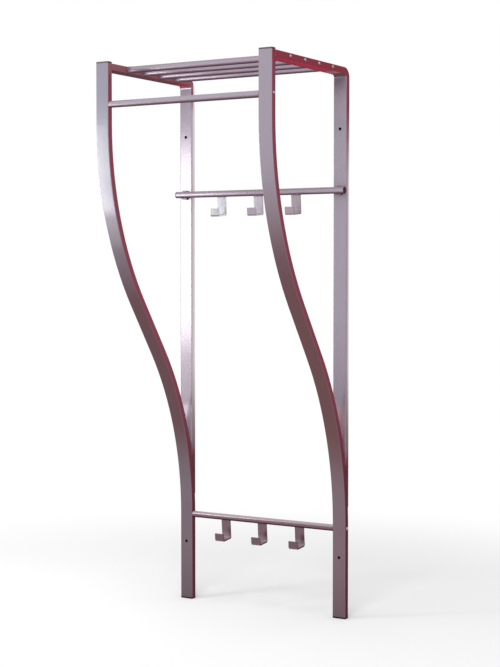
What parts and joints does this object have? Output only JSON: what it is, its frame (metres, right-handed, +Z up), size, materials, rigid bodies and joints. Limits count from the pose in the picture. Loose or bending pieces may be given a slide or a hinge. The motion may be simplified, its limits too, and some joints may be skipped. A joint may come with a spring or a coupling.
{
  "type": "wall coat rack",
  "caption": "Tall wall-mounted coat rack of bent flat tube with a rod hat shelf, a garment rail and two hook rails with flat bent hooks.",
  "frame": {"origin": "on the wall, at the centre of the pattern of the four wall holes, midway between the side frames", "axes": "+Z up, +Y into the wall, +X to the right as seen from the front"},
  "size_m": [0.485, 0.372, 1.33],
  "materials": {
    "frame_silver": "satin",
    "rod_silver": "satin",
    "hook_silver": "satin",
    "cap_plastic": "satin",
    "screw_steel": "satin",
    "insert_steel": "satin"
  },
  "bodies": {
    "root": {"left_back_frame": "frame_silver", "left_front_upright": "frame_silver", "left_frame_welds": "frame_silver", "left_top_cap": "cap_plastic", "left_foot_cap": "cap_plastic", "right_back_frame": "frame_silver", "right_front_upright": "frame_silver", "right_frame_welds": "frame_silver", "right_top_cap": "cap_plastic", "right_foot_cap": "cap_plastic", "shelf_rod_1": "rod_silver", "shelf_rod_2": "rod_silver", "shelf_rod_3": "rod_silver", "shelf_rod_4": "rod_silver", "garment_rail": "rod_silver", "upper_hook_rail": "rod_silver", "lower_hook_rail": "rod_silver", "upper_rail_cap_left": "cap_plastic", "upper_rail_spacer_left": "rod_silver", "upper_rail_cap_right": "cap_plastic", "upper_rail_spacer_right": "rod_silver", "upper_hook_left": "hook_silver", "upper_hook_middle": "hook_silver", "upper_hook_right": "hook_silver", "upper_hook_welds": "hook_silver", "lower_hook_left": "hook_silver", "lower_hook_middle": "hook_silver", "lower_hook_right": "hook_silver", "lower_hook_welds": "hook_silver", "shelf_rod_inserts": "insert_steel", "garment_rail_inserts": "insert_steel", "lower_rail_inserts": "insert_steel", "upper_rail_inserts": "insert_steel", "shelf_screws": "screw_steel", "garment_rail_screws": "screw_steel", "lower_rail_screws": "screw_steel", "upper_rail_bolts": "screw_steel"}
  },
  "joints": []
}
